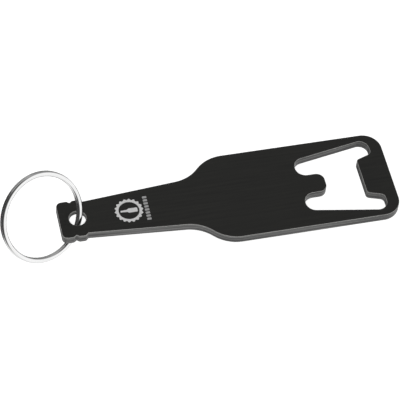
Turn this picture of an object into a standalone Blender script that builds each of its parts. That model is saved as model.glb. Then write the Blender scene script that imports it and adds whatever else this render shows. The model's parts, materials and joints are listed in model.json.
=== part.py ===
"""Keychain bottle opener: a bottle-shaped aluminium plate and a steel split ring.

Units are metres, +Z is up. X runs along the plate, from the mouth of the bottle
outline (-X) to its base (+X). The origin is the middle of the plate's underside.
"""

import math

import bmesh
import bpy
from mathutils import Matrix, Vector

MM = 0.001

# Plate
LENGTH = 90.0 * MM
WIDTH = 27.0 * MM
THICKNESS = 2.5 * MM
EDGE_BREAK = 0.15 * MM
BASE_CORNER = 5.0 * MM

# Mouth of the bottle: a lip and a collar with a notch between them
LIP_WIDTH = 11.7 * MM
NOTCH_WIDTH = 10.6 * MM
LIP_LENGTH = 3.7 * MM
COLLAR_END = 6.9 * MM
BEAD_SLOPE = 0.75 * MM

# Neck and shoulder
NECK_WIDTH = 10.26 * MM
SHOULDER_START = 36.2 * MM
SHOULDER_END = 42.2 * MM
SHOULDER_WIDTH = 14.84 * MM
SHOULDER_RADIUS = 10.0 * MM

# Cut-out that lifts the cap, measured from the mouth end
TONGUE_TIP = 72.05 * MM
TONGUE_WIDTH = 6.0 * MM
TONGUE_RADIUS = 2.2 * MM
FRONT_LOBE_END = 65.1 * MM
FRONT_LOBE_WIDTH = 16.5 * MM
FRONT_LOBE_RADIUS = 2.75 * MM
REAR_LOBE_END = 86.5 * MM
REAR_LOBE_WIDTH = 23.8 * MM
REAR_LOBE_RADIUS = 2.5 * MM
REAR_LOBE_ROOT_WIDTH = 14.0 * MM
REAR_LOBE_ROOT_RADIUS = 1.3 * MM
BLOCK_FACE = 82.1 * MM
BLOCK_WIDTH = 11.1 * MM
BLOCK_RADIUS = 1.0 * MM

# Hole for the ring, countersunk more deeply on the underside
HOLE_FROM_MOUTH = 4.9 * MM
HOLE_RADIUS = 2.2 * MM
HOLE_TOP_CHAMFER = 0.2 * MM
HOLE_UNDER_CHAMFER = 1.2 * MM

# Split ring: flat wire wound nearly twice round, cranked from one coil to the other
RING_OUTER_RADIUS = 12.25 * MM
WIRE_WIDTH = 1.45 * MM
WIRE_HEIGHT = 0.68 * MM
WIRE_CORNER_ACROSS = 0.5 * MM
WIRE_CORNER_DEEP = 0.3 * MM
COIL_GAP = 0.05 * MM
CRANK_ANGLE = math.radians(20.0)
END_GAP_ANGLE = math.radians(1.5)
CRANK_PLACE = math.radians(172.0)

# How the ring hangs in the hole: turned about its own X, then Y, then the hole's axis
RING_ROLL = math.radians(-51.5)
RING_PITCH = math.radians(-31.0)
RING_YAW = math.radians(-173.0)
RING_RADIAL_SHIFT = -0.14 * MM
RING_AXIAL_SHIFT = 0.22 * MM

# Fineness of round stretches
ARC_STEP = math.radians(7.5)
HOLE_SEGMENTS = 64
RING_STEPS_PER_TURN = 80
CUT_MARGIN = 1.0 * MM

HOLE_AXIS = Vector((HOLE_FROM_MOUTH - LENGTH / 2, 0.0, THICKNESS / 2))


def clear_scene():
    for item in list(bpy.data.objects):
        bpy.data.objects.remove(item, do_unlink=True)


def material(name, colour, roughness, metallic):
    surface = bpy.data.materials.new(name)
    surface.use_nodes = True
    shader = surface.node_tree.nodes["Principled BSDF"]
    shader.inputs["Base Color"].default_value = (*colour, 1.0)
    shader.inputs["Roughness"].default_value = roughness
    shader.inputs["Metallic"].default_value = metallic
    return surface


def add_object(name, bm, surface=None):
    """Turns a bmesh into a linked object with outward faces."""
    bmesh.ops.recalc_face_normals(bm, faces=bm.faces)
    mesh = bpy.data.meshes.new(name)
    bm.to_mesh(mesh)
    bm.free()
    item = bpy.data.objects.new(name, mesh)
    bpy.context.collection.objects.link(item)
    if surface:
        mesh.materials.append(surface)
    return item


def make_cutter(item):
    item.hide_render = True
    item.display_type = "WIRE"


def rounded_corner(before, corner, after, radius):
    """Points of the arc that rounds a corner between two neighbouring corners."""
    if radius == 0.0:
        return [corner]
    to_before = (before - corner).normalized()
    to_after = (after - corner).normalized()
    opening = to_before.angle(to_after)
    turn = math.pi - opening
    reach = radius / math.tan(opening / 2)
    bisector = (to_before + to_after).normalized()
    centre = corner + bisector * radius / math.sin(opening / 2)
    start = corner + to_before * reach - centre
    way = 1.0 if start.cross(corner + to_after * reach - centre) > 0 else -1.0
    steps = max(1, math.ceil(turn / ARC_STEP))
    points = []
    for step in range(steps + 1):
        turned = Matrix.Rotation(way * turn * step / steps, 2) @ start
        points.append(centre + turned)
    return points


def rounded_outline(corners):
    """Closed outline from (x, y, radius) corners."""
    places = [Vector((x, y)) for x, y, _ in corners]
    outline = []
    for index, (_, _, radius) in enumerate(corners):
        before = places[index - 1]
        after = places[(index + 1) % len(places)]
        outline += rounded_corner(before, places[index], after, radius)
    return outline


def mirrored(half):
    """Corners of one long side, then the same corners on the other side."""
    other = [(x, -y, radius) for x, y, radius in reversed(half)]
    return half + other


def from_mouth(corners):
    """Moves corners measured from the mouth end into the plate's frame."""
    return [(x - LENGTH / 2, y, radius) for x, y, radius in corners]


def bottle_outline():
    half = [
        (0.0, LIP_WIDTH / 2, 1.5 * MM),
        (LIP_LENGTH - BEAD_SLOPE, LIP_WIDTH / 2, 0.5 * MM),
        (LIP_LENGTH, NOTCH_WIDTH / 2, 0.12 * MM),
        (LIP_LENGTH + BEAD_SLOPE, LIP_WIDTH / 2, 0.5 * MM),
        (COLLAR_END - BEAD_SLOPE, LIP_WIDTH / 2, 0.5 * MM),
        (COLLAR_END, NECK_WIDTH / 2, 0.3 * MM),
        (SHOULDER_START, SHOULDER_WIDTH / 2, SHOULDER_RADIUS),
        (SHOULDER_END, WIDTH / 2, SHOULDER_RADIUS),
        (LENGTH, WIDTH / 2, BASE_CORNER),
    ]
    return rounded_outline(mirrored(from_mouth(half)))


def cut_out_outline():
    half = [
        (TONGUE_TIP, TONGUE_WIDTH / 2, TONGUE_RADIUS),
        (FRONT_LOBE_END, TONGUE_WIDTH / 2, FRONT_LOBE_RADIUS),
        (FRONT_LOBE_END, FRONT_LOBE_WIDTH / 2, FRONT_LOBE_RADIUS),
        (REAR_LOBE_END, REAR_LOBE_WIDTH / 2, REAR_LOBE_RADIUS),
        (REAR_LOBE_END, REAR_LOBE_ROOT_WIDTH / 2, REAR_LOBE_ROOT_RADIUS),
        (BLOCK_FACE, BLOCK_WIDTH / 2, BLOCK_RADIUS),
    ]
    return rounded_outline(mirrored(from_mouth(half)))


def prism(outline, bottom, top):
    """Upright prism over a closed outline."""
    bm = bmesh.new()
    base = [bm.verts.new((x, y, bottom)) for x, y in outline]
    face = bm.faces.new(base)
    extruded = bmesh.ops.extrude_face_region(bm, geom=[face])
    moved = [item for item in extruded["geom"] if isinstance(item, bmesh.types.BMVert)]
    bmesh.ops.translate(bm, verts=moved, vec=(0.0, 0.0, top - bottom))
    return bm


def hole_cutter():
    """Spool that bores the hole and chamfers both of its rims."""
    under = HOLE_RADIUS + HOLE_UNDER_CHAMFER
    over = HOLE_RADIUS + HOLE_TOP_CHAMFER
    profile = [
        (0.0, -CUT_MARGIN),
        (under + CUT_MARGIN, -CUT_MARGIN),
        (HOLE_RADIUS, HOLE_UNDER_CHAMFER),
        (HOLE_RADIUS, THICKNESS - HOLE_TOP_CHAMFER),
        (over + CUT_MARGIN, THICKNESS + CUT_MARGIN),
        (0.0, THICKNESS + CUT_MARGIN),
    ]
    bm = bmesh.new()
    points = [bm.verts.new((radius, 0.0, z)) for radius, z in profile]
    edges = [bm.edges.new(pair) for pair in zip(points, points[1:])]
    bmesh.ops.spin(
        bm,
        geom=points + edges,
        cent=(0.0, 0.0, 0.0),
        axis=(0.0, 0.0, 1.0),
        angle=2 * math.pi,
        steps=HOLE_SEGMENTS,
        use_merge=True,
    )
    bmesh.ops.remove_doubles(bm, verts=bm.verts, dist=0.0001 * MM)
    item = add_object("ring_hole_cutter", bm)
    item.location = (HOLE_AXIS.x, HOLE_AXIS.y, 0.0)
    make_cutter(item)
    return item


def cut_out_cutter():
    bm = prism(cut_out_outline(), -CUT_MARGIN, THICKNESS + CUT_MARGIN)
    item = add_object("cut_out_cutter", bm)
    make_cutter(item)
    return item


def subtract(item, cutter):
    cut = item.modifiers.new(cutter.name, "BOOLEAN")
    cut.operation = "DIFFERENCE"
    cut.object = cutter


def build_plate(surface):
    plate = add_object("opener_plate", prism(bottle_outline(), 0.0, THICKNESS), surface)
    subtract(plate, cut_out_cutter())
    edges = plate.modifiers.new("edge_break", "BEVEL")
    edges.width = EDGE_BREAK
    edges.segments = 1
    edges.limit_method = "ANGLE"
    edges.angle_limit = math.radians(60.0)
    subtract(plate, hole_cutter())
    return plate


def wire_section():
    """Flat wire with well-rounded corners, as (radial, axial) points."""
    half_width = WIRE_WIDTH / 2
    half_height = WIRE_HEIGHT / 2
    cut_back = 1 - math.cos(math.radians(45.0))
    quarter = [
        (half_width, half_height - WIRE_CORNER_DEEP),
        (half_width - WIRE_CORNER_ACROSS * cut_back, half_height - WIRE_CORNER_DEEP * cut_back),
        (half_width - WIRE_CORNER_ACROSS, half_height),
    ]
    section = list(quarter)
    section += [(-x, z) for x, z in reversed(quarter)]
    section += [(-x, -z) for x, z in quarter]
    section += [(x, -z) for x, z in reversed(quarter)]
    return section


def coil_height(angle):
    """Height of the wire's middle: lower coil, smooth crank, upper coil."""
    rise = WIRE_HEIGHT + COIL_GAP
    done = (angle - (2 * math.pi - CRANK_ANGLE)) / CRANK_ANGLE
    done = min(max(done, 0.0), 1.0)
    return rise * (0.5 - 0.5 * math.cos(math.pi * done)) - rise / 2


def build_ring(surface, pivot):
    """Sweeps the wire's section along nearly two turns, closed at both ends."""
    middle_radius = RING_OUTER_RADIUS - WIRE_WIDTH / 2
    centre_x = middle_radius + RING_RADIAL_SHIFT
    first = END_GAP_ANGLE
    last = 4 * math.pi - CRANK_ANGLE - END_GAP_ANGLE
    steps = round((last - first) / (2 * math.pi) * RING_STEPS_PER_TURN)
    bm = bmesh.new()
    loops = []
    for step in range(steps + 1):
        angle = first + (last - first) * step / steps
        around = angle + CRANK_PLACE
        loop = []
        for radial, axial in wire_section():
            radius = middle_radius + radial
            x = centre_x + radius * math.cos(around)
            y = radius * math.sin(around)
            z = RING_AXIAL_SHIFT + coil_height(angle) + axial
            loop.append(bm.verts.new((x, y, z)))
        loops.append(loop)
    for near, far in zip(loops, loops[1:]):
        for index, start in enumerate(near):
            bm.faces.new((near[index - 1], start, far[index], far[index - 1]))
    bm.faces.new(loops[0])
    bm.faces.new(loops[-1])
    ring = add_object("split_key_ring", bm, surface)
    ring.data.shade_smooth()
    ring.data.set_sharp_from_angle(angle=math.radians(35.0))
    ring.parent = pivot
    return ring


def build_pivot():
    """Empty on the hole's axis, about which the ring swings."""
    pivot = bpy.data.objects.new("ring_pivot", None)
    bpy.context.collection.objects.link(pivot)
    pivot.empty_display_size = 5.0 * MM
    pivot.location = HOLE_AXIS
    pivot.rotation_euler = (RING_ROLL, RING_PITCH, RING_YAW)
    return pivot


def main():
    clear_scene()
    anodised = material("black_anodised_aluminium", (0.023, 0.023, 0.021), 0.42, 0.7)
    steel = material("polished_steel", (0.80, 0.80, 0.81), 0.10, 1.0)
    build_plate(anodised)
    build_ring(steel, build_pivot())
    bpy.context.view_layer.update()


main()
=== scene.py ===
"""Keychain bottle opener: the finished looks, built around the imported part.

Lengths are metres in the part's own frame. X runs along the plate from the ring end to
the base of the bottle outline, and Z points out of the front face.
"""

import json
import math

import bmesh
import bpy
from mathutils import Matrix, Vector


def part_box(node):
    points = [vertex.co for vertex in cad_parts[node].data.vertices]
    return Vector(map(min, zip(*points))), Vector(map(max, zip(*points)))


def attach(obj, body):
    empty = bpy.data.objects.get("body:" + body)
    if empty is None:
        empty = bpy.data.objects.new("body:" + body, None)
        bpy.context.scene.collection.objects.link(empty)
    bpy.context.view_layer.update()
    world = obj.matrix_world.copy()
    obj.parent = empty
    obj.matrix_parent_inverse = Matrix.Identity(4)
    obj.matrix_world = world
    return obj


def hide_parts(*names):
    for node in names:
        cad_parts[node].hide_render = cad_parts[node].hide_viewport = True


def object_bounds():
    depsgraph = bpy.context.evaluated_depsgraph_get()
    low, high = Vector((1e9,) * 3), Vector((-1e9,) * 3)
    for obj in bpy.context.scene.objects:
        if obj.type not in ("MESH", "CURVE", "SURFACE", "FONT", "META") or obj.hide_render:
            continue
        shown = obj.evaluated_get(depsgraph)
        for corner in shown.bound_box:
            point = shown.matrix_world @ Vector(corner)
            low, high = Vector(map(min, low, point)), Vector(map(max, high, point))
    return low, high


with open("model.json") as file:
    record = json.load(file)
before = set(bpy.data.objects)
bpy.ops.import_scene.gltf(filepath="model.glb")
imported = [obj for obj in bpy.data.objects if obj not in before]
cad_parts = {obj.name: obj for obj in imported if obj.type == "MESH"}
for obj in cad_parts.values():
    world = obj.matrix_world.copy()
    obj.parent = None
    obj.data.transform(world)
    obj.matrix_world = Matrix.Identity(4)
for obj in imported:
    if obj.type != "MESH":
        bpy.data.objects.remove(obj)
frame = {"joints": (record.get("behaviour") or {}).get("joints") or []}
CAD_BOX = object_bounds()
PLATE_LOW, PLATE_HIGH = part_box("opener_plate")
RING_PIVOT = Vector(frame["joints"][0]["pos_m"])

MM = 0.001

# Plate, as in the part
MOUTH = PLATE_LOW.x
LENGTH = PLATE_HIGH.x - PLATE_LOW.x
WIDTH = PLATE_HIGH.y - PLATE_LOW.y
THICKNESS = PLATE_HIGH.z - PLATE_LOW.z
EDGE_ROUND = 0.16 * MM
BASE_CORNER = 5.0 * MM

LIP_WIDTH = 11.7 * MM
LIP_CORNER = 1.5 * MM
NOTCH_WIDTH = 10.6 * MM
NOTCH_RADIUS = 0.12 * MM
LIP_LENGTH = 3.7 * MM
COLLAR_END = 6.9 * MM
COLLAR_RADIUS = 0.3 * MM
BEAD_SLOPE = 0.75 * MM
BEAD_RADIUS = 0.5 * MM

NECK_WIDTH = 10.26 * MM
SHOULDER_START = 36.2 * MM
SHOULDER_END = 42.2 * MM
SHOULDER_WIDTH = 14.84 * MM
SHOULDER_RADIUS = 10.0 * MM

TONGUE_TIP = 72.05 * MM
TONGUE_WIDTH = 6.0 * MM
TONGUE_RADIUS = 2.2 * MM
FRONT_LOBE_END = 65.1 * MM
FRONT_LOBE_WIDTH = 16.5 * MM
FRONT_LOBE_RADIUS = 2.75 * MM
REAR_LOBE_END = 86.5 * MM
REAR_LOBE_WIDTH = 23.8 * MM
REAR_LOBE_RADIUS = 2.5 * MM
REAR_LOBE_ROOT_WIDTH = 14.0 * MM
REAR_LOBE_ROOT_RADIUS = 1.3 * MM
BLOCK_FACE = 82.1 * MM
BLOCK_WIDTH = 11.1 * MM
BLOCK_RADIUS = 1.0 * MM

HOLE_RADIUS = 2.2 * MM
HOLE_TOP_CHAMFER = 0.2 * MM
HOLE_UNDER_CHAMFER = 1.2 * MM
HOLE_SOFTENING = 0.1 * MM
HOLE_MARGIN = 3 * HOLE_SOFTENING
# Shares of painted highlight on the hole's top and under rims
HOLE_TOP_HIGHLIGHT = 0.8
HOLE_UNDER_HIGHLIGHT = 0.4

# Split ring: the part's own sizes, with a slightly slimmer wire that keeps inside its box
RING_MIDDLE_RADIUS = 11.515 * MM
WIRE_WIDTH = 1.4 * MM
WIRE_HEIGHT = 0.66 * MM
WIRE_ROUND_ACROSS = 0.5 * MM
WIRE_ROUND_DEEP = 0.3 * MM
COIL_RISE = 0.73 * MM
CRANK_ANGLE = math.radians(20.0)
END_GAP_ANGLE = math.radians(1.5)
CRANK_PLACE = math.radians(172.0)
RING_TURN = (math.radians(-51.5), math.radians(-31.0), math.radians(-173.0))
RING_RADIAL_SHIFT = -0.14 * MM
RING_AXIAL_SHIFT = 0.22 * MM

# Emblem on the neck: a bottle inside a crown cap's outline, beside a row of plain dashes
EMBLEM_CENTRE = 18.6 * MM
CAP_RADIUS = 3.6 * MM
CAP_FLUTE = 0.2 * MM
CAP_FLUTES = 18
CAP_LINE = 0.85 * MM
ICON_SCALE = 0.05
DASH_ROW = 23.35 * MM
DASH_COUNT = 8
DASH_PITCH = 1.0 * MM
DASH_WIDTH = 0.68 * MM
DASH_HEIGHT = 1.15 * MM
DASH_CORNER = 0.15 * MM
MARK_PROUD = 0.012 * MM
MARK_SUNK = 0.01 * MM

# Fineness
ARC_STEP = math.radians(3.0)
EDGE_STEPS = 4
HOLE_SEGMENTS = 128
HOLE_ARC_STRIDE = 5
RING_STEPS_PER_TURN = 240
SECTION_STEPS = 5
SHARP_ANGLE = math.radians(50.0)
FLUTE_SEGMENTS = 16
FLAT_FACE_WEIGHT = 100

# Camera: round the plate, above it, and rolled a little
CAMERA_TARGET = Vector((-7.31 * MM, 0.0, THICKNESS))
CAMERA_DISTANCE = 522.1 * MM
CAMERA_AZIMUTH = math.radians(-16.63)
CAMERA_ELEVATION = math.radians(53.64)
CAMERA_ROLL = math.radians(5.07)
CAMERA_LENS = 178.1
CAMERA_SENSOR = 36.0
CAMERA_NEAR = 0.01
CAMERA_FAR = 20.0

# Studio: grey levels are linear, and a light's power is in watts
FLOOR_SIZE = 6.0
FLOOR_GAP = 0.02 * MM
FLOOR_BASE = 0.9
FLOOR_ROUGHNESS = 0.9
FLOOR_GLOW = 0.8

# Fade of the surroundings: height of the direction, as a unit vector's Z, and grey level
SKY_BELOW = (-0.5, 0.9)
SKY_ABOVE = (0.6, 0.42)

KEY_LIGHT_PLACE = (-0.3, -0.7, 1.0)
KEY_LIGHT_SIZE = 0.6
KEY_LIGHT_POWER = 7.5

# Zones of the surroundings that the ring reflects, later ones over earlier ones:
# azimuth, elevation, radius of full cover, outer radius, all in degrees, and the grey level
SKY_ZONES = (
    (125.0, 0.0, 12.0, 30.0, 1.0),
    (-90.0, 10.0, 42.0, 52.0, 0.03),
    (-170.0, 42.0, 40.0, 60.0, 0.06),
    (-6.0, -26.0, 30.0, 44.0, 0.05),
    (62.0, 30.0, 14.0, 38.0, 0.2),
)

# Grey levels of the materials' base colours
TOP_DARK = 0.006
TOP_LIGHT = 0.018
TOP_CLOUD = 0.014
TOP_BLUE = 0.85
# Cut walls: their cutting lines, painted lighter than the top face as a sheen
WALL_SHEEN_DARK = 0.03
WALL_SHEEN_LIGHT = 0.12
WALL_BLUE = 0.97
# Grey of the painted highlight along the rounded edges and the hole's rims
EDGE_HIGHLIGHT = 0.80
STEEL_DARK = 0.86
STEEL_LIGHT = 0.94
EMBLEM_LEVELS = (0.82, 0.92)
DASH_LEVELS = (0.40, 0.55)

# How far each pattern shows in the plate: painted edge highlights in patches, soft clouds and
# the walls' cutting lines
EDGE_HIGHLIGHT_PATCHES = (0.25, 0.75)
CLOUD_SHARE = 0.5
STREAK_SPAN = (0.42, 0.58)

# Ranges of roughness, and the anodised layer's refraction
TOP_ROUGHNESS = (0.34, 0.44)
STEEL_ROUGHNESS = (0.05, 0.10)
MARK_ROUGHNESS = (0.55, 0.70)
ANODISED_IOR = 1.47

# Noise patterns: scale of the coordinates, features per metre, detail
EVEN = (1.0, 1.0, 1.0)
GRAIN = ((1.0, 22.0, 22.0), 70.0, 5.0)
CLOUD = (EVEN, 60.0, 2.0)
PITS = (EVEN, 9000.0, 2.0)
WALL_STREAKS = ((0.5, 0.5, 24.0), 70.0, 3.0)
DRAWING_LINES = ((1.0, 60.0, 1.0), 140.0, 3.0)
SMUDGE = (EVEN, 220.0, 2.0)
FROST = ((1.0, 6.0, 1.0), 1600.0, 3.0)

# Bumps: depth and strength
PIT_BUMP = (0.004 * MM, 0.25)
GRAIN_BUMP = (0.006 * MM, 0.35)
DRAWING_BUMP = (0.003 * MM, 0.15)
FROST_BUMP = (0.005 * MM, 0.3)


def rounded_corner(before, corner, after, radius):
    """Points of the arc that rounds a corner between two neighbouring corners."""
    to_before = (before - corner).normalized()
    to_after = (after - corner).normalized()
    opening = to_before.angle(to_after)
    turn = math.pi - opening
    reach = radius / math.tan(opening / 2)
    bisector = (to_before + to_after).normalized()
    centre = corner + bisector * radius / math.sin(opening / 2)
    start = corner + to_before * reach - centre
    way = 1.0 if start.cross(corner + to_after * reach - centre) > 0 else -1.0
    steps = max(2, math.ceil(turn / ARC_STEP))
    points = []
    for step in range(steps + 1):
        turned = Matrix.Rotation(way * turn * step / steps, 2) @ start
        points.append(centre + turned)
    return points


def rounded_outline(corners):
    """Closed outline from (x, y, radius) corners."""
    places = [Vector((x, y)) for x, y, _ in corners]
    outline = []
    for index, (_, _, radius) in enumerate(corners):
        before = places[index - 1]
        after = places[(index + 1) % len(places)]
        outline += rounded_corner(before, places[index], after, radius)
    return outline


def mirrored(half):
    """Corners of one long side, then the same corners on the other side."""
    other = [(x, -y, radius) for x, y, radius in reversed(half)]
    return half + other


def from_mouth(corners):
    """Moves corners measured from the mouth end into the part's frame."""
    return [(x + MOUTH, y, radius) for x, y, radius in corners]


def bottle_outline():
    """Plate's outline: lip, notch, bead, neck, shoulders and base."""
    half = [
        (0.0, LIP_WIDTH / 2, LIP_CORNER),
        (LIP_LENGTH - BEAD_SLOPE, LIP_WIDTH / 2, BEAD_RADIUS),
        (LIP_LENGTH, NOTCH_WIDTH / 2, NOTCH_RADIUS),
        (LIP_LENGTH + BEAD_SLOPE, LIP_WIDTH / 2, BEAD_RADIUS),
        (COLLAR_END - BEAD_SLOPE, LIP_WIDTH / 2, BEAD_RADIUS),
        (COLLAR_END, NECK_WIDTH / 2, COLLAR_RADIUS),
        (SHOULDER_START, SHOULDER_WIDTH / 2, SHOULDER_RADIUS),
        (SHOULDER_END, WIDTH / 2, SHOULDER_RADIUS),
        (LENGTH, WIDTH / 2, BASE_CORNER),
    ]
    return rounded_outline(mirrored(from_mouth(half)))


def cut_out_outline():
    """Cap-lifting cut-out: tongue, front lobes, rear lobes and block."""
    half = [
        (TONGUE_TIP, TONGUE_WIDTH / 2, TONGUE_RADIUS),
        (FRONT_LOBE_END, TONGUE_WIDTH / 2, FRONT_LOBE_RADIUS),
        (FRONT_LOBE_END, FRONT_LOBE_WIDTH / 2, FRONT_LOBE_RADIUS),
        (REAR_LOBE_END, REAR_LOBE_WIDTH / 2, REAR_LOBE_RADIUS),
        (REAR_LOBE_END, REAR_LOBE_ROOT_WIDTH / 2, REAR_LOBE_ROOT_RADIUS),
        (BLOCK_FACE, BLOCK_WIDTH / 2, BLOCK_RADIUS),
    ]
    return rounded_outline(mirrored(from_mouth(half)))


def signed_area(outline):
    """Positive for an outline that runs anticlockwise."""
    return sum(a.cross(b) for a, b in zip(outline, outline[1:] + outline[:1])) / 2


def offset(outline, distance):
    """Moves a closed outline inwards by a distance, or outwards by a negative one."""
    side = 1.0 if signed_area(outline) > 0 else -1.0
    moved = []
    for index, point in enumerate(outline):
        before = (point - outline[index - 1]).normalized()
        after = (outline[(index + 1) % len(outline)] - point).normalized()
        along = (before + after).normalized()
        inwards = Vector((-along.y, along.x)) * side
        stretch = max(along.dot(after), 0.5)
        moved.append(point + inwards * distance / stretch)
    return moved


def add_loop(bm, layers, points, height, highlight, side):
    """Ring of vertices at one height, with their shares of painted edge highlight and of painted
    wall sheen.
    """
    verts = []
    for x, y in points:
        vert = bm.verts.new((x, y, height))
        vert[layers[0]] = highlight
        vert[layers[1]] = side
        verts.append(vert)
    return verts


def bridge(bm, upper, lower):
    """Band of quads between two rings of equally many vertices."""
    for index, vert in enumerate(upper):
        bm.faces.new((upper[index - 1], vert, lower[index], lower[index - 1]))


def edge_rows(material_side):
    """(offset, height, highlight, side) rows of a wall with both edges rounded, top to bottom;
    highlight is the share of painted edge highlight, strongest halfway round each rounding.

    material_side is 1 where the material lies inside the outline and -1 where it lies outside.
    """
    rows = []
    for step in range(EDGE_STEPS + 1):
        angle = math.radians(90.0) * step / EDGE_STEPS
        inset = EDGE_ROUND * (1 - math.sin(angle))
        drop = EDGE_ROUND * (1 - math.cos(angle))
        # Painted edge highlight, strongest halfway round the rounding
        highlight = math.sin(2 * angle)
        # Share of the lighter wall colour, a painted sheen, fading in round the rounding
        side = step / EDGE_STEPS
        rows.append((material_side * inset, PLATE_HIGH.z - drop, highlight, side))
    for row_offset, height, highlight, side in reversed(rows[:]):
        rows.append((row_offset, PLATE_LOW.z + PLATE_HIGH.z - height, highlight, side))
    return rows


def hole_rows():
    """(radius, height, highlight) rows of the ring hole's wall, top to bottom; highlight is the
    share of painted highlight on the rims.
    """
    top = HOLE_RADIUS + HOLE_TOP_CHAMFER
    under = HOLE_RADIUS + HOLE_UNDER_CHAMFER
    corners = [
        Vector((top + HOLE_MARGIN, PLATE_HIGH.z)),
        Vector((top, PLATE_HIGH.z)),
        Vector((HOLE_RADIUS, PLATE_HIGH.z - HOLE_TOP_CHAMFER)),
        Vector((HOLE_RADIUS, PLATE_LOW.z + HOLE_UNDER_CHAMFER)),
        Vector((under, PLATE_LOW.z)),
        Vector((under + HOLE_MARGIN, PLATE_LOW.z)),
    ]
    # Painted highlight on the hole's rims, rising and falling across each rounded corner
    highlights = (
        (0.0, HOLE_TOP_HIGHLIGHT),
        (HOLE_TOP_HIGHLIGHT, 0.0),
        (0.0, HOLE_UNDER_HIGHLIGHT),
        (HOLE_UNDER_HIGHLIGHT, 0.0),
    )
    rows = []
    for before, corner, after, (first, last) in zip(corners, corners[1:], corners[2:], highlights):
        arc = rounded_corner(before, corner, after, HOLE_SOFTENING)[::HOLE_ARC_STRIDE]
        for place, point in enumerate(arc):
            share = place / (len(arc) - 1)
            rows.append((point.x, point.y, first + (last - first) * share))
    return rows


def circle(radius, segments, centre):
    """Points round a circle, anticlockwise."""
    points = []
    for index in range(segments):
        angle = 2 * math.pi * index / segments
        x = centre[0] + radius * math.cos(angle)
        y = centre[1] + radius * math.sin(angle)
        points.append(Vector((x, y)))
    return points


def finish_mesh(name, bm):
    """Makes an object of the mesh, with its faces turned outwards."""
    bmesh.ops.recalc_face_normals(bm, faces=bm.faces)
    mesh = bpy.data.meshes.new(name)
    bm.to_mesh(mesh)
    bm.free()
    item = bpy.data.objects.new(name, mesh)
    bpy.context.collection.objects.link(item)
    return item


def edges_round(bm, verts):
    """Edges between the vertices of a closed ring."""
    following = verts[1:] + verts[:1]
    return [bm.edges.get(pair) for pair in zip(verts, following)]


def build_plate():
    """Plate with rounded edges; one vertex layer marks the painted highlights along the edges,
    another the cut sides, which are painted lighter as a sheen.
    """
    bm = bmesh.new()
    layers = [bm.verts.layers.float.new(name) for name in ("painted_edge_highlight", "side_wall_sheen")]
    top_edges = []
    under_edges = []
    walls = []
    for outline, material_side in ((bottle_outline(), 1.0), (cut_out_outline(), -1.0)):
        rows = []
        for row_offset, height, highlight, side in edge_rows(material_side):
            points = offset(outline, row_offset)
            rows.append(add_loop(bm, layers, points, height, highlight, side))
        walls.append(rows)
    hole = []
    for radius, height, highlight in hole_rows():
        points = circle(radius, HOLE_SEGMENTS, RING_PIVOT.xy)
        hole.append(add_loop(bm, layers, points, height, highlight, 0.0))
    walls.append(hole)
    for rows in walls:
        for upper, lower in zip(rows, rows[1:]):
            bridge(bm, upper, lower)
        top_edges += edges_round(bm, rows[0])
        under_edges += edges_round(bm, rows[-1])
    bmesh.ops.triangle_fill(bm, use_beauty=True, use_dissolve=False, edges=top_edges)
    bmesh.ops.triangle_fill(bm, use_beauty=True, use_dissolve=False, edges=under_edges)
    plate = finish_mesh("plate_anodised", bm)
    plate.data.shade_smooth()
    weighted = plate.modifiers.new("flat_faces_stay_flat", "WEIGHTED_NORMAL")
    weighted.weight = FLAT_FACE_WEIGHT
    return plate


def wire_section():
    """Flat wire with elliptically rounded corners, as (radial, axial) points."""
    section = []
    reach_x = WIRE_WIDTH / 2 - WIRE_ROUND_ACROSS
    reach_z = WIRE_HEIGHT / 2 - WIRE_ROUND_DEEP
    for quarter, (side_x, side_z) in enumerate(((1, 1), (-1, 1), (-1, -1), (1, -1))):
        for step in range(SECTION_STEPS + 1):
            angle = math.radians(90.0) * (quarter + step / SECTION_STEPS)
            x = side_x * reach_x + WIRE_ROUND_ACROSS * math.cos(angle)
            z = side_z * reach_z + WIRE_ROUND_DEEP * math.sin(angle)
            section.append((x, z))
    return section


def coil_height(angle):
    """Height of the wire's middle: lower coil, smooth crank, upper coil."""
    done = (angle - (2 * math.pi - CRANK_ANGLE)) / CRANK_ANGLE
    done = min(max(done, 0.0), 1.0)
    return COIL_RISE * (0.5 - 0.5 * math.cos(math.pi * done)) - COIL_RISE / 2


def ring_loops(bm, first, last, steps):
    """The wire's section, repeated along nearly two turns and put in its place."""
    section = wire_section()
    place = Matrix.Translation(RING_PIVOT) @ euler_matrix(RING_TURN)
    loops = []
    for step in range(steps + 1):
        angle = first + (last - first) * step / steps
        around = angle + CRANK_PLACE
        loop = []
        for radial, axial in section:
            radius = RING_MIDDLE_RADIUS + radial
            x = RING_MIDDLE_RADIUS + RING_RADIAL_SHIFT + radius * math.cos(around)
            y = radius * math.sin(around)
            z = RING_AXIAL_SHIFT + coil_height(angle) + axial
            loop.append(bm.verts.new(place @ Vector((x, y, z))))
        loops.append(loop)
    return loops


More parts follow.
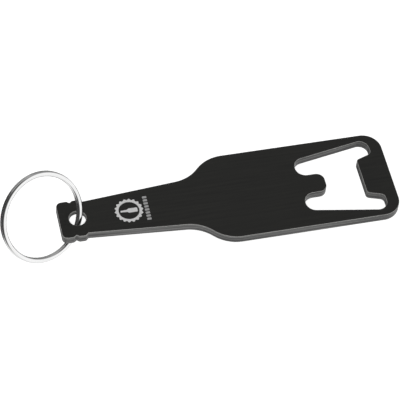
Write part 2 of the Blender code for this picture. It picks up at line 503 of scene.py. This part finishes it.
def build_ring():
    """Split ring as one wire; its UVs run along and round the wire, in metres."""
    bm = bmesh.new()
    uv_layer = bm.loops.layers.uv.new("along_wire")
    first = END_GAP_ANGLE
    last = 4 * math.pi - CRANK_ANGLE - END_GAP_ANGLE
    steps = round((last - first) / (2 * math.pi) * RING_STEPS_PER_TURN)
    loops = ring_loops(bm, first, last, steps)
    metres_along = (last - first) * RING_MIDDLE_RADIUS / steps
    metres_round = 2 * (WIRE_WIDTH + WIRE_HEIGHT) / len(loops[0])
    for step, (near, far) in enumerate(zip(loops, loops[1:])):
        for index, start in enumerate(near):
            face = bm.faces.new((near[index - 1], start, far[index], far[index - 1]))
            along = (step, step, step + 1, step + 1)
            across = (index - 1, index, index, index - 1)
            for corner, a, b in zip(face.loops, along, across):
                corner[uv_layer].uv = (a * metres_along, b * metres_round)
    bm.faces.new(loops[0])
    bm.faces.new(loops[-1])
    ring = finish_mesh("ring_polished", bm)
    ring.data.shade_smooth()
    ring.data.set_sharp_from_angle(angle=SHARP_ANGLE)
    return ring


def euler_matrix(turns):
    """Turns about X, then Y, then Z."""
    x, y, z = (Matrix.Rotation(turn, 4, axis) for turn, axis in zip(turns, "XYZ"))
    return z @ y @ x


def thin_solid(bm, outer, inner=None):
    """Raises a flat shape slightly out of the front face, with an opening if inner is given."""
    low = PLATE_HIGH.z - MARK_SUNK
    high = PLATE_HIGH.z + MARK_PROUD
    rings = []
    for height in (low, high):
        rings.append([bm.verts.new((x, y, height)) for x, y in outer])
    bridge(bm, rings[1], rings[0])
    if inner is None:
        bm.faces.new(rings[0])
        bm.faces.new(rings[1])
        return
    holes = []
    for height in (low, high):
        holes.append([bm.verts.new((x, y, height)) for x, y in inner])
    bridge(bm, holes[1], holes[0])
    bridge(bm, rings[0], holes[0])
    bridge(bm, rings[1], holes[1])


def build_emblem():
    """Crown cap seen from above, with a small bottle in it."""
    centre = Vector((MOUTH + EMBLEM_CENTRE, 0.0))
    segments = CAP_FLUTES * FLUTE_SEGMENTS
    scalloped = []
    for index in range(segments):
        angle = 2 * math.pi * index / segments
        radius = CAP_RADIUS + CAP_FLUTE * math.cos(CAP_FLUTES * angle)
        scalloped.append(centre + Vector((math.cos(angle), math.sin(angle))) * radius)
    bm = bmesh.new()
    thin_solid(bm, scalloped, circle(CAP_RADIUS - CAP_LINE, segments, centre))
    thin_solid(bm, [centre + point * ICON_SCALE for point in bottle_outline()])
    return finish_mesh("neck_emblem", bm)


def build_dashes():
    """Row of plain dashes across the neck."""
    bm = bmesh.new()
    x = MOUTH + DASH_ROW
    for index in range(DASH_COUNT):
        y = (index - (DASH_COUNT - 1) / 2) * DASH_PITCH
        corners = []
        for end, side in ((-1, -1), (1, -1), (1, 1), (-1, 1)):
            corner = (x + end * DASH_HEIGHT / 2, y + side * DASH_WIDTH / 2, DASH_CORNER)
            corners.append(corner)
        thin_solid(bm, rounded_outline(corners))
    return finish_mesh("neck_dashes", bm)


def new_material(name):
    """New node material, with its tree and its shader."""
    surface = bpy.data.materials.new(name)
    surface.use_nodes = True
    tree = surface.node_tree
    return surface, tree, tree.nodes["Principled BSDF"]


def add_node(tree, kind, inputs=None, **settings):
    """Adds a node, sets its properties and its inputs, and links inputs given as sockets."""
    node = tree.nodes.new(kind)
    for key, value in settings.items():
        setattr(node, key, value)
    for key, value in (inputs or {}).items():
        if isinstance(value, bpy.types.NodeSocket):
            tree.links.new(value, node.inputs[key])
        else:
            node.inputs[key].default_value = value
    return node


def noise_pattern(tree, coordinates, pattern):
    """Noise drawn out along the axis whose coordinates are scaled least."""
    scale, density, detail = pattern
    mapping = add_node(tree, "ShaderNodeMapping", {"Vector": coordinates, "Scale": scale})
    stretched = mapping.outputs["Vector"]
    inputs = {"Vector": stretched, "Scale": density, "Detail": detail}
    return add_node(tree, "ShaderNodeTexNoise", inputs).outputs["Fac"]


def ranged(tree, value, low, high, from_low=0.3, from_high=0.7):
    """Maps a noise value onto a range."""
    node = add_node(
        tree,
        "ShaderNodeMapRange",
        {
            "Value": value,
            "From Min": from_low,
            "From Max": from_high,
            "To Min": low,
            "To Max": high,
        },
    )
    return node.outputs["Result"]


def mixed(tree, factor, first, second):
    """Blends two colours; either may be a plain value or another node's output."""
    node = add_node(tree, "ShaderNodeMix", data_type="RGBA")
    sockets = {"Factor_Float": factor, "A_Color": first, "B_Color": second}
    for identifier, value in sockets.items():
        socket = next(s for s in node.inputs if s.identifier == identifier)
        if isinstance(value, bpy.types.NodeSocket):
            tree.links.new(value, socket)
        else:
            socket.default_value = value
    return next(s for s in node.outputs if s.identifier == "Result_Color")


def grey(value, blue=1.0):
    """Grey base colour, turned slightly warm by a blue share below 1."""
    return (value, value, value * blue, 1.0)


def bumped(tree, height, bump, normal=None):
    """Normal disturbed by a height pattern, on top of another normal if one is given."""
    depth, strength = bump
    inputs = {"Height": height, "Strength": strength, "Distance": depth}
    if normal is not None:
        inputs["Normal"] = normal
    return add_node(tree, "ShaderNodeBump", inputs).outputs["Normal"]


def anodised_material():
    """Satin black anodised aluminium with a fine grain along the plate, painted highlights along
    its edges and a painted sheen on its cut walls.
    """
    surface, tree, shader = new_material("black_anodised_aluminium")
    place = add_node(tree, "ShaderNodeTexCoord").outputs["Object"]
    grain = noise_pattern(tree, place, GRAIN)
    cloud = noise_pattern(tree, place, CLOUD)
    pits = noise_pattern(tree, place, PITS)
    streaks = noise_pattern(tree, place, WALL_STREAKS)
    # Painted highlight along the rounded edges and hole rims, broken into patches by the pits
    # noise
    highlight = add_node(tree, "ShaderNodeAttribute", attribute_name="painted_edge_highlight").outputs["Fac"]
    # Share of the lighter wall colour, a painted sheen on the cut sides
    side = add_node(tree, "ShaderNodeAttribute", attribute_name="side_wall_sheen").outputs["Fac"]
    highlight_inputs = {0: highlight, 1: ranged(tree, pits, *EDGE_HIGHLIGHT_PATCHES)}
    highlight_mask = add_node(tree, "ShaderNodeMath", highlight_inputs, operation="MULTIPLY").outputs["Value"]
    lines = ranged(tree, grain, 0.0, 1.0)
    cuts = ranged(tree, streaks, 0.0, 1.0, *STREAK_SPAN)
    # Cut walls: real cutting lines, painted lighter than the top as a sheen
    wall_with_sheen = mixed(tree, cuts, grey(WALL_SHEEN_DARK, WALL_BLUE), grey(WALL_SHEEN_LIGHT, WALL_BLUE))
    base = mixed(tree, lines, grey(TOP_DARK, TOP_BLUE), grey(TOP_LIGHT, TOP_BLUE))
    base = mixed(tree, ranged(tree, cloud, 0.0, CLOUD_SHARE), base, grey(TOP_CLOUD, TOP_BLUE))
    # Painted wall sheen, faded in round the rounded edges
    base = mixed(tree, side, base, wall_with_sheen)
    # Painted edge highlight laid over the base colour
    base = mixed(tree, highlight_mask, base, grey(EDGE_HIGHLIGHT, WALL_BLUE))
    tree.links.new(base, shader.inputs["Base Color"])
    tree.links.new(ranged(tree, grain, *TOP_ROUGHNESS), shader.inputs["Roughness"])
    shader.inputs["Metallic"].default_value = 0.0
    shader.inputs["IOR"].default_value = ANODISED_IOR
    fine = bumped(tree, pits, PIT_BUMP)
    tree.links.new(bumped(tree, grain, GRAIN_BUMP, fine), shader.inputs["Normal"])
    return surface


def steel_material():
    """Polished plated steel with faint drawing lines along the wire."""
    surface, tree, shader = new_material("polished_ring_steel")
    along = add_node(tree, "ShaderNodeUVMap", uv_map="along_wire").outputs["UV"]
    lines = noise_pattern(tree, along, DRAWING_LINES)
    smudge = noise_pattern(tree, along, SMUDGE)
    base = mixed(tree, ranged(tree, lines, 0.0, 1.0), grey(STEEL_DARK), grey(STEEL_LIGHT))
    tree.links.new(base, shader.inputs["Base Color"])
    tree.links.new(ranged(tree, smudge, *STEEL_ROUGHNESS), shader.inputs["Roughness"])
    shader.inputs["Metallic"].default_value = 1.0
    tree.links.new(bumped(tree, lines, DRAWING_BUMP), shader.inputs["Normal"])
    return surface


def mark_material(name, levels):
    """Laser-frosted metal: pale, matt and a little uneven."""
    surface, tree, shader = new_material(name)
    dark, light = levels
    place = add_node(tree, "ShaderNodeTexCoord").outputs["Object"]
    frost = noise_pattern(tree, place, FROST)
    base = mixed(tree, ranged(tree, frost, 0.0, 1.0), grey(dark), grey(light))
    tree.links.new(base, shader.inputs["Base Color"])
    tree.links.new(ranged(tree, frost, *MARK_ROUGHNESS), shader.inputs["Roughness"])
    tree.links.new(bumped(tree, frost, FROST_BUMP), shader.inputs["Normal"])
    return surface


def direction(azimuth, elevation):
    """Unit vector; azimuth turns from +Y towards +X, and both angles are in degrees."""
    across = math.cos(math.radians(elevation))
    x = across * math.sin(math.radians(azimuth))
    y = across * math.cos(math.radians(azimuth))
    return Vector((x, y, math.sin(math.radians(elevation))))


def sky_patch(tree, way, sky, centre, inner, outer, value):
    """Lays a round patch of one brightness, with a soft rim, over the surroundings."""
    facing = add_node(
        tree,
        "ShaderNodeVectorMath",
        {0: way, 1: centre},
        operation="DOT_PRODUCT",
    )
    cover = add_node(
        tree,
        "ShaderNodeMapRange",
        {
            "Value": facing.outputs["Value"],
            "From Min": math.cos(math.radians(outer)),
            "From Max": math.cos(math.radians(inner)),
            "To Min": 0.0,
            "To Max": 1.0,
        },
        interpolation_type="SMOOTHSTEP",
    )
    return mixed(tree, cover.outputs["Result"], sky, grey(value))


def build_floor():
    """White floor, which lights the object and stays out of its reflections."""
    bm = bmesh.new()
    bmesh.ops.create_grid(bm, x_segments=1, y_segments=1, size=FLOOR_SIZE / 2)
    floor = finish_mesh("floor", bm)
    floor.location.z = CAD_BOX[0].z - FLOOR_GAP
    surface, tree, shader = new_material("pale_floor")
    shader.inputs["Base Color"].default_value = grey(FLOOR_BASE)
    shader.inputs["Roughness"].default_value = FLOOR_ROUGHNESS
    shader.inputs["Emission Color"].default_value = grey(1.0)
    shader.inputs["Emission Strength"].default_value = FLOOR_GLOW
    floor.data.materials.append(surface)
    floor.visible_glossy = False


def build_surroundings():
    """Pale room, lighter below than above, with the dark and bright zones of SKY_ZONES."""
    world = bpy.data.worlds.new("soft_studio")
    world.use_nodes = True
    bpy.context.scene.world = world
    tree = world.node_tree
    background = tree.nodes["Background"]
    way = add_node(tree, "ShaderNodeTexCoord").outputs["Generated"]
    split = add_node(tree, "ShaderNodeSeparateXYZ", {"Vector": way})
    fade = add_node(
        tree,
        "ShaderNodeMapRange",
        {
            "Value": split.outputs["Z"],
            "From Min": SKY_BELOW[0],
            "From Max": SKY_ABOVE[0],
            "To Min": SKY_BELOW[1],
            "To Max": SKY_ABOVE[1],
        },
    )
    sky = fade.outputs["Result"]
    for azimuth, elevation, inner, outer, level in SKY_ZONES:
        sky = sky_patch(tree, way, sky, direction(azimuth, elevation), inner, outer, level)
    tree.links.new(sky, background.inputs["Color"])
    background.inputs["Strength"].default_value = 1.0


def build_key_light():
    """Soft square light, up and in front, which stays out of the reflections."""
    light = bpy.data.lights.new("key_light", "AREA")
    light.shape = "SQUARE"
    light.size = KEY_LIGHT_SIZE
    light.energy = KEY_LIGHT_POWER
    item = bpy.data.objects.new("key_light", light)
    item.location = KEY_LIGHT_PLACE
    item.rotation_mode = "QUATERNION"
    item.rotation_quaternion = Vector(KEY_LIGHT_PLACE).to_track_quat("Z", "Y")
    item.visible_glossy = False
    bpy.context.collection.objects.link(item)


def add_camera():
    """Camera on a line from the target, turned round that line by the roll."""
    back = Vector(
        (
            math.sin(CAMERA_AZIMUTH) * math.cos(CAMERA_ELEVATION),
            -math.cos(CAMERA_AZIMUTH) * math.cos(CAMERA_ELEVATION),
            math.sin(CAMERA_ELEVATION),
        )
    )
    camera = bpy.data.cameras.new("camera")
    camera.lens = CAMERA_LENS
    camera.sensor_width = CAMERA_SENSOR
    camera.clip_start = CAMERA_NEAR
    camera.clip_end = CAMERA_FAR
    item = bpy.data.objects.new("camera", camera)
    item.location = CAMERA_TARGET + back * CAMERA_DISTANCE
    item.rotation_mode = "QUATERNION"
    level = (-back).to_track_quat("-Z", "Y")
    roll = Matrix.Rotation(CAMERA_ROLL, 3, "Z").to_quaternion()
    item.rotation_quaternion = level @ roll
    bpy.context.collection.objects.link(item)
    bpy.context.scene.camera = item


def main():
    """Builds the pieces, says which CAD nodes they stand for, and sets up the studio."""
    plate = build_plate()
    plate.data.materials.append(anodised_material())
    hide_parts("opener_plate")
    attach(plate, "plate")

    ring = build_ring()
    ring.data.materials.append(steel_material())
    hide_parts("split_key_ring")
    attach(ring, "key_ring")

    emblem = build_emblem()
    emblem.data.materials.append(mark_material("frosted_mark", EMBLEM_LEVELS))
    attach(emblem, "plate")
    dashes = build_dashes()
    dashes.data.materials.append(mark_material("frosted_dashes", DASH_LEVELS))
    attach(dashes, "plate")

    build_floor()
    build_surroundings()
    build_key_light()
    add_camera()
    bpy.context.scene.view_settings.view_transform = "Standard"


main()
